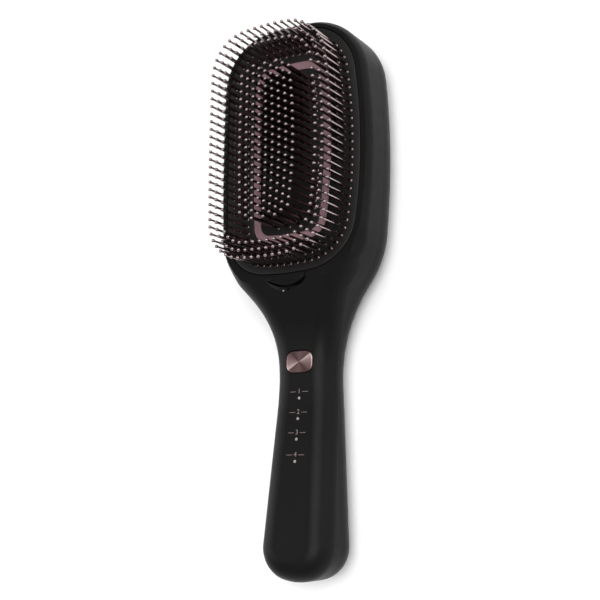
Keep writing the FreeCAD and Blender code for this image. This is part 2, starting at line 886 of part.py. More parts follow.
def pin_ring(inset, staggered):
    """One ring of bristles on comb strips, split where the outline bends."""
    places, gaps = ring_path(inset, staggered)
    count = len(places)
    half = comb_width / 2
    band = layer(head_band(inset - half, inset + half, -front_clear, front_clear), comb_depth)
    quarter = count // 4
    long_side = round(long_split / pin_pitch)
    short_side = round(short_split / pin_pitch)
    splits = [long_side, quarter - short_side, quarter + short_side, count // 2 - long_side - 1,
              count // 2 + long_side, count - quarter - short_side - 1, count - quarter + short_side - 1,
              count - long_side - 1]
    for i in splits:
        place = gaps[i % count]
        along = places[(i + 1) % count] - places[i % count]
        slit = box((-comb_split / 2, -comb_width, -front_clear), (comb_split / 2, comb_width, front_clear))
        slit.rotate(V(0, 0, 0), V(0, 0, 1), degrees(atan2(along.y, along.x)))
        slit.translate(V(place.x, place.y, 0))
        band = band.cut(slit)
    combs = []
    for strip in band.Solids:
        on_strip = []
        for place in places:
            probe = Part.Vertex(V(place.x, place.y, face_height(place.y) - comb_depth / 2))
            if probe.distToShape(strip)[0] < press_gap:
                on_strip.append(pin(place))
        combs.append(strip.multiFuse(on_strip))
    return Part.makeCompound(combs)


def bowed(across, along):
    """Sideways place of an island column at a distance along it; the columns close in towards their ends."""
    return across * (1 - island_bow * (along / (island_rows / 2 * island_row_pitch)) ** 2)


def island_places():
    """Pin places of the middle field: staggered columns, the two outermost one row shorter at each end."""
    middle = (island_columns - 1) / 2
    field = []
    for column in range(island_columns):
        rows = island_rows - column % 2
        if column in (0, island_columns - 1):
            rows -= 2
        across = (column - middle) * island_column_pitch
        alongs = [(row - (rows - 1) / 2) * island_row_pitch for row in range(rows)]
        field.append([V(bowed(across, along), along, 0) for along in alongs])
    return field


def island_comb(places, widening=0.0, depth=0.0):
    """Strip under one column of the middle field."""
    end = places[-1].y + (island_row_pitch - comb_split) / 2 + widening
    across = places[len(places) // 2].x
    across = max(across, places[len(places) // 2 - 1].x, key=abs)
    edges = []
    for side in (-1, 1):
        offset = side * (comb_width / 2 + widening)
        points = [V(bowed(across, y) + offset, y, -front_clear) for y in (-end, 0, end)]
        if abs(across) < island_column_pitch / 2:
            edges.append(Part.LineSegment(points[0], points[2]).toShape())
        else:
            edges.append(Part.Arc(*points).toShape())
    for at in (0, 1):
        ends = [edge.Vertexes[at].Point for edge in edges[:2]]
        edges.append(Part.LineSegment(*ends).toShape())
    strip = Part.Face(Part.Wire(Part.sortEdges(edges)[0])).extrude(V(0, 0, 2 * front_clear))
    return layer(strip, comb_depth + depth)


def island_combs():
    """Nine strips of bristles, set slightly higher than the rings."""
    combs = []
    for places in island_places():
        combs.append(island_comb(places).multiFuse([pin(place, island_extra) for place in places]))
    return Part.makeCompound(combs)


def face_plate():
    """Hollow-faced ring plate with grooves for the three rings of combs."""
    plate = below(0, head_band(module_inset, light_ring_inset, -plate_depth, front_clear))
    for inset in ring_insets:
        side = comb_width / 2 + contact_gap
        groove = head_band(inset - side, inset + side, -front_clear, front_clear)
        plate = plate.cut(above(comb_depth + contact_gap, groove))
    return plate


def light_ring():
    """Mauve light-spreading ring between the outer rings and the middle field."""
    end = light_ring_inset + light_ring_width
    return below(0, head_band(light_ring_inset + contact_gap, end - contact_gap, -plate_depth, front_clear))


def island_plate():
    """Middle plate with a groove for each strip of bristles."""
    plate = below(0, prism(head_loop(light_ring_inset + light_ring_width), -plate_depth, front_clear))
    for places in island_places():
        plate = plate.cut(island_comb(places, contact_gap, contact_gap))
    return plate


def lamp_places():
    """Places of the treatment lamps under the light ring."""
    loop = head_loop(light_ring_inset + light_ring_width / 2)
    return loop.discretize(Number=lamp_count + 1)[:-1]


def carrier_plate():
    """Plate that carries the three face pieces, with a window over each lamp and four bosses."""
    top = -plate_depth
    plate = prism(head_loop(module_inset + module_wall + fit_gap), top - carrier_depth, top)
    for place in lamp_places():
        plate = plate.cut(rod(place.x, place.y, top - 2 * carrier_depth, top + 1, window_radius))
    for x, y in module_columns():
        boss = rod(x, y, module_bottom + module_wall, top - carrier_depth / 2, boss_radius)
        plate = plate.fuse(boss)
        bore_end = top - carrier_depth - boss_floor
        plate = plate.cut(rod(x, y, module_bottom - 1, bore_end, module_screw_radius + contact_gap))
    return plate


def module_columns():
    """Places of the four screws that close the bristle head."""
    return [(x, y) for x in (-module_screw_x, module_screw_x) for y in (-module_screw_y, module_screw_y)]


def module_base():
    """Tray that closes the bristle head from below."""
    top = -plate_depth - module_seam
    tray = prism(head_loop(module_inset), module_bottom, top)
    tray = tray.cut(prism(head_loop(module_inset + module_wall), module_bottom + module_wall, top + 1))
    rear = [edge for edge in tray.Edges if edge.BoundBox.ZMax < module_bottom + 0.01]
    tray = tray.makeChamfer(base_chamfer, rear)
    for x, y in module_columns():
        tray = tray.cut(rod(x, y, module_bottom - 1, top, module_screw_radius + fit_gap))
        seat = module_bottom + fit_gap + module_head_height
        tray = tray.cut(rod(x, y, module_bottom - 1, seat, module_head_radius + fit_gap))
    for x in contact_x:
        seat = module_bottom + pad_height + rest_clearance
        tray = tray.cut(rod(x, contact_y, module_bottom - 1, seat, pad_radius + contact_gap))
    for x in (-magnet_x, magnet_x):
        seat = module_bottom + magnet_height + contact_gap
        tray = tray.cut(rod(x, magnet_y, module_bottom - 1, seat, magnet_radius + contact_gap))
    edge = -head_half_height + module_inset
    groove = box((-groove_half_width, edge - 1, -nose_depth - groove_half_height),
                 (groove_half_width, edge + groove_reach, -nose_depth + groove_half_height))
    return tray.cut(groove)


def module_screws():
    """Four small screws up through the tray into the carrier's bosses."""
    screws = []
    for x, y in module_columns():
        low = module_bottom + fit_gap
        head = rod(x, y, low, low + module_head_height, module_head_radius)
        tip = -plate_depth - carrier_depth - boss_floor - slide_gap
        screws.append(head.fuse(rod(x, y, low, tip, module_screw_radius)))
    return Part.makeCompound(screws)


def contact_pads():
    """Four plated pads that meet the dock's contacts."""
    low = module_bottom + rest_clearance
    return Part.makeCompound([rod(x, contact_y, low, low + pad_height, pad_radius) for x in contact_x])


def lamp_board():
    """Ring-shaped board under the light ring."""
    low = lamp_board_top - lamp_board_thickness
    board = head_band(light_ring_inset - lamp_board_margin,
                      light_ring_inset + light_ring_width + lamp_board_margin, low, lamp_board_top)
    for x, y in module_columns():
        board = board.cut(rod(x, y, low - 1, lamp_board_top + 1, boss_radius + fit_gap))
    return board


def treatment_leds():
    """Lamp chips that stand in the carrier's windows."""
    low = lamp_board_top
    half = lamp_side / 2
    chips = []
    for place in lamp_places():
        chips.append(box((place.x - half, place.y - half, low),
                         (place.x + half, place.y + half, low + lamp_height)))
    return Part.makeCompound(chips)


def main():
    """Build and write every piece."""
    os.makedirs("parts", exist_ok=True)
    pieces = [
        front_shell, back_cover, dock_plate, dock_screws, dock_contacts, latch_spring, guide_pin, release_tab,
        power_button, switch_plunger, tact_switch, main_board, board_parts, light_pipes, status_leds,
        motor_can, motor_holder, motor_shaft, eccentric_weight, battery, battery_cradle,
        charging_socket, socket_board, face_plate, light_ring, island_plate, island_combs,
        carrier_plate, lamp_board, treatment_leds, module_base, module_screws, contact_pads,
    ]
    for build in pieces:
        save(build(), build.__name__)
    save(discs(dock_top - magnet_height, magnet_height), "dock_magnets")
    save(discs(module_bottom + rest_clearance, magnet_height), "module_magnets")
    for number, inset in enumerate(ring_insets, 1):
        save(pin_ring(inset, number == staggered_ring), "pin_ring_%d" % number)


main()
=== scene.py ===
"""Looks of the scalp massager brush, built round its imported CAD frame. Metres."""
from math import atan2, cos, pi, radians, sin, sqrt

import bpy
import numpy as np
from mathutils import Matrix, Vector
from mathutils.bvhtree import BVHTree
from mathutils.geometry import delaunay_2d_cdt


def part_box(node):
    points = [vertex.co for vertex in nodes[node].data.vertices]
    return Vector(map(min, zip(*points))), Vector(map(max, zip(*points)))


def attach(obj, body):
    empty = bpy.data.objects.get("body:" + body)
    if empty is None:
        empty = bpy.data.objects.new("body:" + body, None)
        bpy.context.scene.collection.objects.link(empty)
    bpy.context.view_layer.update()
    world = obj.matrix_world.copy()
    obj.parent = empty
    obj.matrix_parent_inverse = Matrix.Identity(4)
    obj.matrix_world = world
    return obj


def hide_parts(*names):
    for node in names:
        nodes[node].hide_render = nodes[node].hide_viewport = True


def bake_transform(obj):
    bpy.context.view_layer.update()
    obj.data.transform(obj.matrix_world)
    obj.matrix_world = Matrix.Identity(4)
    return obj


MM = 0.001

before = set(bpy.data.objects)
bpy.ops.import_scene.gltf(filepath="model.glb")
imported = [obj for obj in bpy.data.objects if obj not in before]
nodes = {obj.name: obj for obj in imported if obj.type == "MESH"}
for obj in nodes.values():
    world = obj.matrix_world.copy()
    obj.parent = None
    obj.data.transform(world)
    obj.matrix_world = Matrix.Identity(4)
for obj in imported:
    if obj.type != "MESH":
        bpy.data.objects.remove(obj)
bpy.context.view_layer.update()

# the bristle face is part of a wide cylinder, lowest in the middle of the head
FACE_RADIUS = 355 * MM
# insets of the face plates and of the light ring between them, from the head's outline
FACE_INSET = 3.8 * MM
RING_INSET = 17.35 * MM
RING_WIDTH = 3.3 * MM
# thickness of the face plate in the middle of the head
PLATE_DEPTH = 3.4 * MM

plate_low, plate_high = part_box("face_plate")
head_middle_y = (plate_low.y + plate_high.y) / 2
face_middle_z = plate_low.z + PLATE_DEPTH


def face_z(y):
    """Height of the bristle face at a place along the brush."""
    return face_middle_z + FACE_RADIUS - sqrt(FACE_RADIUS ** 2 - (y - head_middle_y) ** 2)


# ---------------------------------------------------------------- material helpers

# a noise's values lie mostly between these
NOISE_LOW, NOISE_HIGH = 0.3, 0.7


def new_material(name):
    """New material, its node tree and its Principled shader."""
    material = bpy.data.materials.new(name)
    material.use_nodes = True
    tree = material.node_tree
    return material, tree, tree.nodes["Principled BSDF"]


def math_node(tree, operation, source):
    """Math node fed by a source."""
    node = tree.nodes.new("ShaderNodeMath")
    node.operation = operation
    tree.links.new(source, node.inputs[0])
    return node


def multiplied(tree, first, second, share):
    """First colour times a share of the second."""
    mix = tree.nodes.new("ShaderNodeMix")
    mix.data_type = "RGBA"
    mix.blend_type = "MULTIPLY"
    mix.inputs["Factor"].default_value = share
    tree.links.new(first, mix.inputs["A"])
    tree.links.new(second, mix.inputs["B"])
    return mix.outputs["Result"]


def noise(tree, scale, detail, stretch=(1, 1, 1)):
    """Noise in the object's own space, scale in features per metre."""
    place = tree.nodes.new("ShaderNodeTexCoord")
    mapping = tree.nodes.new("ShaderNodeMapping")
    mapping.inputs["Scale"].default_value = stretch
    tree.links.new(place.outputs["Object"], mapping.inputs["Vector"])
    texture = tree.nodes.new("ShaderNodeTexNoise")
    texture.inputs["Scale"].default_value = scale
    texture.inputs["Detail"].default_value = detail
    tree.links.new(mapping.outputs["Vector"], texture.inputs["Vector"])
    return texture.outputs["Fac"]


def spread(tree, source, low, high):
    """Number that wanders from low to high with a noise."""
    node = tree.nodes.new("ShaderNodeMapRange")
    node.inputs["From Min"].default_value = NOISE_LOW
    node.inputs["From Max"].default_value = NOISE_HIGH
    node.inputs["To Min"].default_value = low
    node.inputs["To Max"].default_value = high
    tree.links.new(source, node.inputs["Value"])
    return node.outputs["Result"]


def ramp(tree, source, stops):
    """Colour ramp from (place, colour) stops."""
    node = tree.nodes.new("ShaderNodeValToRGB")
    node.color_ramp.elements[0].position = stops[0][0]
    node.color_ramp.elements[0].color = (*stops[0][1], 1)
    node.color_ramp.elements[1].position = stops[-1][0]
    node.color_ramp.elements[1].color = (*stops[-1][1], 1)
    for place, colour in stops[1:-1]:
        node.color_ramp.elements.new(place).color = (*colour, 1)
    tree.links.new(source, node.inputs["Fac"])
    return node.outputs["Color"]


def tones(tree, source, dark, light):
    """Colour that wanders from dark to light with a noise."""
    return ramp(tree, source, [(NOISE_LOW, dark), (NOISE_HIGH, light)])


def bump(tree, shader, source, depth):
    """Bump of a real depth in metres."""
    node = tree.nodes.new("ShaderNodeBump")
    node.inputs["Distance"].default_value = depth
    tree.links.new(source, node.inputs["Height"])
    tree.links.new(node.outputs["Normal"], shader.inputs["Normal"])


# how far a moulding's tone, as a share, and its roughness wander to either side
MOULDED_TONE = 0.12
MOULDED_ROUGH = 0.04
# streaks in metal: features per metre, their darkest tone, their lowest and highest roughness, as shares
STREAK_SCALE = 2500
METAL_DARK = 0.85
METAL_SMOOTH, METAL_ROUGH = 0.8, 1.25
# draws streaks out along the brush
LENGTHWISE = (1, 0.05, 1)


def moulded(name, colour, roughness, grain_scale, grain_depth, specular=0.5):
    """Moulded plastic: fine grain, slightly uneven tone and roughness."""
    material, tree, shader = new_material(name)
    shader.inputs["Specular IOR Level"].default_value = specular
    slow = noise(tree, 60, 2)
    dark = [c * (1 - MOULDED_TONE) for c in colour]
    light = [c * (1 + MOULDED_TONE) for c in colour]
    tree.links.new(tones(tree, slow, dark, light), shader.inputs["Base Color"])
    grain = noise(tree, grain_scale, 2)
    wander = noise(tree, grain_scale / 6, 4)
    rough = spread(tree, wander, roughness - MOULDED_ROUGH, roughness + MOULDED_ROUGH)
    tree.links.new(rough, shader.inputs["Roughness"])
    bump(tree, shader, grain, grain_depth)
    return material


def metal(name, colour, roughness, streak=(1, 1, 1)):
    """Metal with faint streaks, drawn out along the axis with a small number in streak."""
    material, tree, shader = new_material(name)
    shader.inputs["Metallic"].default_value = 1.0
    lines = noise(tree, STREAK_SCALE, 3, streak)
    dark = [c * METAL_DARK for c in colour]
    tree.links.new(tones(tree, lines, dark, colour), shader.inputs["Base Color"])
    rough = spread(tree, lines, roughness * METAL_SMOOTH, roughness * METAL_ROUGH)
    tree.links.new(rough, shader.inputs["Roughness"])
    bump(tree, shader, lines, 0.004 * MM)
    return material


# ---------------------------------------------------------------- materials

# direction in degrees of the sharp painted highlight rays on the key
PAINTED_RAY_ANGLE = 31.0


def soft_touch_black():
    """Soft-touch black of the housing: very fine matt grain, faint handling marks."""
    material, tree, shader = new_material("soft_touch_black")
    shader.inputs["Specular IOR Level"].default_value = 0.07
    black = tones(tree, noise(tree, 35, 2), (0.0064, 0.0064, 0.0064), (0.0080, 0.0080, 0.0078))
    tree.links.new(black, shader.inputs["Base Color"])
    handled = noise(tree, 220, 5)
    tree.links.new(spread(tree, handled, 0.36, 0.42), shader.inputs["Roughness"])
    bump(tree, shader, noise(tree, 5200, 2), 0.0035 * MM)
    return material


def bristle_metal():
    """Polished rose metal coat of the bristles; its colour follows the tone that each vertex carries, which
    holds painted shade at the roots and painted light on the shafts of the outer ring.
    """
    material, tree, shader = new_material("bristle_metal")
    shader.inputs["Metallic"].default_value = 1.0
    carried = tree.nodes.new("ShaderNodeAttribute")
    carried.attribute_name = "tone"
    # tone stops: root bead, painted shade low on a shaft, painted light higher up it, then the balls' own
    # colour
    base = ramp(tree, carried.outputs["Fac"], [
        (0.0, (0.17, 0.135, 0.13)),
        (0.1, (0.17, 0.135, 0.13)),
        (0.2, (0.09, 0.055, 0.055)),
        (0.45, (0.20, 0.13, 0.13)),
        (0.7, (0.52, 0.43, 0.42)),
        (0.9, (0.52, 0.43, 0.42)),
        (0.97, (0.33, 0.268, 0.265)),
    ])
    uneven = tones(tree, noise(tree, 900, 3), (0.75, 0.72, 0.72), (1, 1, 1))
    tree.links.new(multiplied(tree, base, uneven, 0.5), shader.inputs["Base Color"])
    tree.links.new(spread(tree, noise(tree, 3000, 2), 0.10, 0.16), shader.inputs["Roughness"])
    return material


def diffuser_mauve():
    """Satin mauve light spreader."""
    material, tree, shader = new_material("diffuser_mauve")
    shader.inputs["Subsurface Weight"].default_value = 0.15
    shader.inputs["Subsurface Radius"].default_value = (0.002, 0.001, 0.001)
    mauve = tones(tree, noise(tree, 90, 3), (0.20, 0.115, 0.13), (0.24, 0.14, 0.155))
    tree.links.new(mauve, shader.inputs["Base Color"])
    tree.links.new(spread(tree, noise(tree, 700, 3), 0.42, 0.5), shader.inputs["Roughness"])
    bump(tree, shader, noise(tree, 3500, 2), 0.004 * MM)
    return material


def key_rose_gold(centre):
    """Rose-gold anodised key, turned round its middle, with painted reflections: two painted sheens between
    darker painted wedges, each ending in a sharp painted highlight ray.
    """
    material, tree, shader = new_material("key_rose_gold")
    shader.inputs["Metallic"].default_value = 1.0
    place = tree.nodes.new("ShaderNodeTexCoord")
    moved = tree.nodes.new("ShaderNodeMapping")
    moved.inputs["Location"].default_value = [-c for c in centre]
    tree.links.new(place.outputs["Object"], moved.inputs["Vector"])
    split = tree.nodes.new("ShaderNodeSeparateXYZ")
    tree.links.new(moved.outputs["Vector"], split.inputs["Vector"])
    angle = math_node(tree, "ARCTAN2", split.outputs["Y"])
    tree.links.new(split.outputs["X"], angle.inputs[1])
    half_turns = math_node(tree, "MULTIPLY_ADD", angle.outputs[0])
    half_turns.inputs[1].default_value = 1 / pi
    half_turns.inputs[2].default_value = 1 - PAINTED_RAY_ANGLE / 180
    around = math_node(tree, "FRACT", half_turns.outputs[0])
    # painted reflection: bright sheens, dark wedges and a sharp highlight ray, set by the angle round the
    # key's middle
    painted_sheen = ramp(tree, around.outputs[0], [
        (0.0, (0.36, 0.25, 0.24)),
        (0.035, (0.115, 0.07, 0.07)),
        (0.30, (0.165, 0.105, 0.105)),
        (0.56, (0.085, 0.048, 0.05)),
        (0.70, (0.19, 0.12, 0.125)),
        (0.88, (0.33, 0.23, 0.23)),
        (1.0, (0.62, 0.49, 0.47)),
    ])
    streaks = tree.nodes.new("ShaderNodeTexNoise")
    streaks.noise_dimensions = "1D"
    streaks.inputs["Scale"].default_value = 22
    streaks.inputs["Detail"].default_value = 6
    tree.links.new(angle.outputs[0], streaks.inputs["W"])
    lines = tones(tree, streaks.outputs["Fac"], (0.7, 0.7, 0.7), (1, 1, 1))
    tree.links.new(multiplied(tree, painted_sheen, lines, 0.5), shader.inputs["Base Color"])
    tree.links.new(spread(tree, streaks.outputs["Fac"], 0.34, 0.44), shader.inputs["Roughness"])
    return material


def lamp_lens():
    """Warm white light pipe end."""
    material, tree, shader = new_material("lamp_lens")
    shader.inputs["Emission Color"].default_value = (1.0, 0.9, 0.84, 1)
    shader.inputs["Emission Strength"].default_value = 0.03
    slow = noise(tree, 3000, 2)
    warm = tones(tree, slow, (0.25, 0.215, 0.205), (0.30, 0.26, 0.25))
    tree.links.new(warm, shader.inputs["Base Color"])
    tree.links.new(spread(tree, slow, 0.3, 0.4), shader.inputs["Roughness"])
    return material


def printed_mauve():
    """Pad-printed mauve-grey numerals."""
    material, tree, shader = new_material("printed_mauve")
    wear = noise(tree, 2500, 3)
    ink = tones(tree, wear, (0.19, 0.13, 0.135), (0.25, 0.18, 0.185))
    tree.links.new(ink, shader.inputs["Base Color"])
    tree.links.new(spread(tree, wear, 0.5, 0.6), shader.inputs["Roughness"])
    return material


def circuit_green():
    """Solder mask over faint tracks."""
    material, tree, shader = new_material("circuit_green")
    tracks = tree.nodes.new("ShaderNodeTexBrick")
    tracks.inputs["Scale"].default_value = 300
    tracks.inputs["Color1"].default_value = (0.02, 0.10, 0.05, 1)
    tracks.inputs["Color2"].default_value = (0.025, 0.13, 0.06, 1)
    tracks.inputs["Mortar"].default_value = (0.04, 0.2, 0.09, 1)
    place = tree.nodes.new("ShaderNodeTexCoord")
    tree.links.new(place.outputs["Object"], tracks.inputs["Vector"])
    tree.links.new(tracks.outputs["Color"], shader.inputs["Base Color"])
    shader.inputs["Roughness"].default_value = 0.35
    return material


# ---------------------------------------------------------------- mesh helpers

def make_piece(name, points, faces, material, body, replaced=None, sharp=0):
    """Smooth mesh piece that rides on a body; edges over a sharp angle in degrees stay sharp."""
    mesh = bpy.data.meshes.new(name)
    mesh.from_pydata([tuple(p) for p in points], [], faces)
    mesh.validate()
    mesh.shade_smooth()
    if sharp:
        mesh.set_sharp_from_angle(angle=radians(sharp))
    mesh.materials.append(material)
    piece = bpy.data.objects.new(name, mesh)
    bpy.context.scene.collection.objects.link(piece)
    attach(piece, body)
    if replaced:
        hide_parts(replaced)
    return piece


def lathe(profile, x, y, z, turns, points, faces):
    """Add a turned form from (radius, height) pairs, and say where its first and last rows start."""
    start = len(points)
    for radius, height in profile:
        for k in range(turns):
            a = 2 * pi * k / turns
            points.append((x + radius * cos(a), y + radius * sin(a), z + height))
    rows = len(profile)
    for row in range(rows - 1):
        for k in range(turns):
            a = start + row * turns + k
            b = start + row * turns + (k + 1) % turns
            faces.append((a, b, b + turns, a + turns))
    return start, start + (rows - 1) * turns


# ---------------------------------------------------------------- bristles

# only ball tips stand this far above the face, and two of them are further apart than a cluster
TIP_ZONE = 12 * MM
CLUSTER = 1.6 * MM
# the shaft tapers from its root to its neck under the ball
ROOT_RADIUS = 0.58 * MM
NECK_RADIUS = 0.42 * MM
SHAFT_ROWS = (0.2, 0.45, 0.7, 0.97)
# the bead at the root stands on the floor of the dimple and rises a little above the face
FOOT_RADIUS = 0.84 * MM
FOOT_RISE = 0.22 * MM
FOOT_ROUND = 0.16 * MM
FOOT_TURN = (0.33, 0.67, 1.0)
FOOT_STEP = 0.05 * MM
FOOT_ROWS = len(FOOT_TURN) + 3
# rows of a ball, points in each row, and the radius of its flat top as a share of its own
BALL_ROWS = 9
BALL_SIDES = 14
BALL_TOP = 0.04
DIMPLE_RADIUS = 1.0 * MM
DIMPLE_DEPTH = 0.55 * MM
# tone of a shaft above its root, with painted light: the outer ring's shafts are painted brighter, the
# inner ones painted darker as if shaded by the outer ones
SHAFT_PAINTED_LIGHT = {"pin_ring_1": 0.8, "pin_ring_2": 0.5, "pin_ring_3": 0.5, "island_combs": 0.48}
# painted shade at the root of every shaft, where the bristles shade each other near the plate
ROOT_PAINTED_SHADE = 0.2
# the painted shade at a shaft's root lifts to its full tone at 1 / ROOT_SHADE_RISE of its length
ROOT_SHADE_RISE = 2.2


def pin_tips(node):
    """Middle and radius of every ball tip of a bristle node."""
    mesh = nodes[node].data
    points = np.zeros(len(mesh.vertices) * 3, np.float32)
    mesh.vertices.foreach_get("co", points)
    points = points.reshape(-1, 3)
    face = face_middle_z + FACE_RADIUS - np.sqrt(FACE_RADIUS ** 2 - (points[:, 1] - head_middle_y) ** 2)
    points = points[points[:, 2] > face + TIP_ZONE]
    tips = []
    while len(points):
        near = np.hypot(points[:, 0] - points[0, 0], points[:, 1] - points[0, 1]) < CLUSTER
        ball = points[near]
        low, high = ball.min(0), ball.max(0)
        radius = (high[0] - low[0]) / 2
        tips.append(((low[0] + high[0]) / 2, (low[1] + high[1]) / 2, high[2] - radius, radius))
        points = points[~near]
    return sorted(tips)


def bristle_profile(length, ball):
    """Radius and height pairs from the root, up the tapered shaft and round the ball."""
    top = DIMPLE_DEPTH + FOOT_RISE
    profile = [(FOOT_RADIUS, 0), (FOOT_RADIUS, top - FOOT_ROUND)]
    for share in FOOT_TURN:
        a = share * pi / 2
        profile.append((FOOT_RADIUS - FOOT_ROUND * (1 - cos(a)), top - FOOT_ROUND * (1 - sin(a))))
    profile.append((ROOT_RADIUS, top + FOOT_STEP))
    start = -sqrt(ball ** 2 - NECK_RADIUS ** 2)
    for share in SHAFT_ROWS:
        profile.append((ROOT_RADIUS + (NECK_RADIUS - ROOT_RADIUS) * share, (length + start) * share))
    low = atan2(start, NECK_RADIUS)
    for k in range(BALL_ROWS):
        a = low + (pi / 2 - low) * k / BALL_ROWS
        profile.append((ball * cos(a), length + ball * sin(a)))
    profile.append((ball * BALL_TOP, length + ball))
    return profile


def bristles(name, node, material):
    """All bristles of one comb set, as one piece, with a tone at each vertex that holds painted shade and
    painted light on the shafts.
    """
    points, faces, shades = [], [], []
    for x, y, z, ball in pin_tips(node):
        root = face_z(y) - DIMPLE_DEPTH
        profile = bristle_profile(z - root, ball)
        first, last = lathe(profile, x, y, root, BALL_SIDES, points, faces)
        faces.append(tuple(range(first + BALL_SIDES - 1, first - 1, -1)))
        faces.append(tuple(range(last, last + BALL_SIDES)))
        for row, (radius, height) in enumerate(profile):
            if row < FOOT_ROWS:
                tone = 0.0
            # shaft: painted shade at the root, lifting to the painted light of its ring
            elif height < z - root - ball:
                rise = min(1.0, ROOT_SHADE_RISE * height / (z - root))
                tone = ROOT_PAINTED_SHADE + (SHAFT_PAINTED_LIGHT[node] - ROOT_PAINTED_SHADE) * rise
            else:
                tone = 1.0
            shades += [tone] * BALL_SIDES
    piece = make_piece(name, points, faces, material, "bristle_head", node)
    carried = piece.data.attributes.new("tone", "FLOAT", "POINT")
    carried.data.foreach_set("value", np.array(shades, np.float32))


# ---------------------------------------------------------------- bristle face plates

# the head's outline: two side arcs, two end arcs and four corner arcs, all tangent
HALF_WIDTH = 36.3 * MM
HALF_HEIGHT = 56.0 * MM
SIDE_RADIUS = 335 * MM
END_RADIUS = 125 * MM
CORNER_RADIUS = 25.5 * MM
ARC_STEPS = 18


def head_quarter(inset):
    """Points of one quarter of the head's outline, from the side to the end."""
    side_radius, end_radius, corner_radius = SIDE_RADIUS - inset, END_RADIUS - inset, CORNER_RADIUS - inset
    side = Vector((HALF_WIDTH - SIDE_RADIUS, 0))
    end = Vector((0, HALF_HEIGHT - END_RADIUS))
    near, far = side_radius - corner_radius, end_radius - corner_radius
    span = (end - side).length
    along = (near ** 2 - far ** 2 + span ** 2) / (2 * span)
    direction = (end - side).normalized()
    across = Vector((-direction.y, direction.x))
    corner = side + direction * along + across * sqrt(near ** 2 - along ** 2)
    low = atan2(corner.y - side.y, corner.x - side.x)
    high = atan2(corner.y - end.y, corner.x - end.x)
    side_arc = (side, side_radius, 0, low)
    corner_arc = (corner, corner_radius, low, high)
    end_arc = (end, end_radius, high, pi / 2)
    points = []
    for centre, radius, first, last in (side_arc, corner_arc, end_arc):
        for k in range(ARC_STEPS):
            a = first + (last - first) * k / ARC_STEPS
            points.append(Vector((centre.x + radius * cos(a), centre.y + radius * sin(a))))
    return points + [Vector((0, end.y + end_radius))]


def head_loop(inset):
    """Closed outline of the head, moved inwards, anticlockwise, in the brush's frame."""
    quarter = head_quarter(inset)
    loop = list(quarter)
    loop += [Vector((-p.x, p.y)) for p in reversed(quarter[:-1])]
    loop += [Vector((-p.x, -p.y)) for p in quarter[1:]]
    loop += [Vector((p.x, -p.y)) for p in reversed(quarter[1:-1])]
    return [Vector((p.x, p.y + head_middle_y)) for p in loop]


def circle(x, y, radius, sides):
    """Evenly spaced points of a circle, anticlockwise."""
    angles = [2 * pi * k / sides for k in range(sides)]
    return [Vector((x + radius * cos(a), y + radius * sin(a))) for a in angles]


DIMPLE_SIDES = 16
# rows of the round into a dimple: share of its radius, share of its depth
DIMPLE_CUP = ((0.93, -0.03), (0.86, -0.12), (0.82, -0.3), (0.80, -1.0))
EDGE_ROUND = 0.35 * MM
# shares of a quarter turn at which a rounded edge has its rows
EDGE_ROWS = (0.3, 0.7, 1.0)
# the edge of a hole is half as round, the other way
HOLE_WAY = -0.5
# degrees above which an edge of the face plates stays sharp
FACE_SHARP = 40
# a face lies in a dimple if its middle is within this share of the dimple's radius
DIMPLE_REACH = 0.97
# settings of the triangulation: fill the convex outline, and join points closer than this
FILL_HULL = 0
JOIN_POINTS = 1e-9
# keeps the test of a level edge from dividing by nought
TINY = 1e-15


def inside(loop, x, y):
    """Whether a point lies inside a closed outline."""
    after = np.roll(loop, -1, 0)
    crosses = (loop[:, 1] > y) != (after[:, 1] > y)
    run, rise = after[:, 0] - loop[:, 0], after[:, 1] - loop[:, 1] + TINY
    place = run * (y - loop[:, 1]) / rise + loop[:, 0]
    return (crosses & (x < place)).sum() % 2 == 1


def flat_plate(outlines, rims, tips):
    """Points and faces between the outlines and the dimples' rims, and the point numbers of each loop."""
    flat, loops = [], []
    for outline in outlines + rims:
        loops.append(range(len(flat), len(flat) + len(outline)))
        flat += outline
    edges = [(loop[k], loop[(k + 1) % len(loop)]) for loop in loops for k in range(len(loop))]
    points, _, triangles, origin, _, _ = delaunay_2d_cdt(flat, edges, [], FILL_HULL, JOIN_POINTS)
    centres = np.array([(x, y) for x, y, z, ball in tips])
    walls = [np.array([tuple(p) for p in outline]) for outline in outlines]
    faces = []
    for face in triangles:
        x = sum(points[i].x for i in face) / len(face)
        y = sum(points[i].y for i in face) / len(face)
        in_dimple = np.hypot(centres[:, 0] - x, centres[:, 1] - y).min() < DIMPLE_RADIUS * DIMPLE_REACH
        in_hole = any(inside(wall, x, y) for wall in walls[1:])
        if inside(walls[0], x, y) and not in_dimple and not in_hole:
            faces.append(tuple(face))
    where = {old: new for new, olds in enumerate(origin) for old in olds}
    curved = [(p.x, p.y, face_z(p.y)) for p in points]
    return curved, faces, [[where[i] for i in loop] for loop in loops]


def bridge(before, after, faces, flipped=False):
    """Quads between two closed rows of points."""
    for k in range(len(before)):
        n = (k + 1) % len(before)
        quad = (before[k], after[k], after[n], before[n])
        faces.append(quad[::-1] if flipped else quad)


def add_row(row, points):
    """Add a closed row of points, and give their numbers."""
    points += row
    return list(range(len(points) - len(row), len(points)))


def dimple(x, y, rim, points, faces):
    """Rounded cup from a rim in the face down to its floor."""
    before = rim
    for radius, depth in DIMPLE_CUP:
        ring = circle(x, y, DIMPLE_RADIUS * radius, DIMPLE_SIDES)
        here = add_row([(p.x, p.y, face_z(p.y) + DIMPLE_DEPTH * depth) for p in ring], points)
        bridge(before, here, faces)
        before = here
    faces.append(tuple(before))


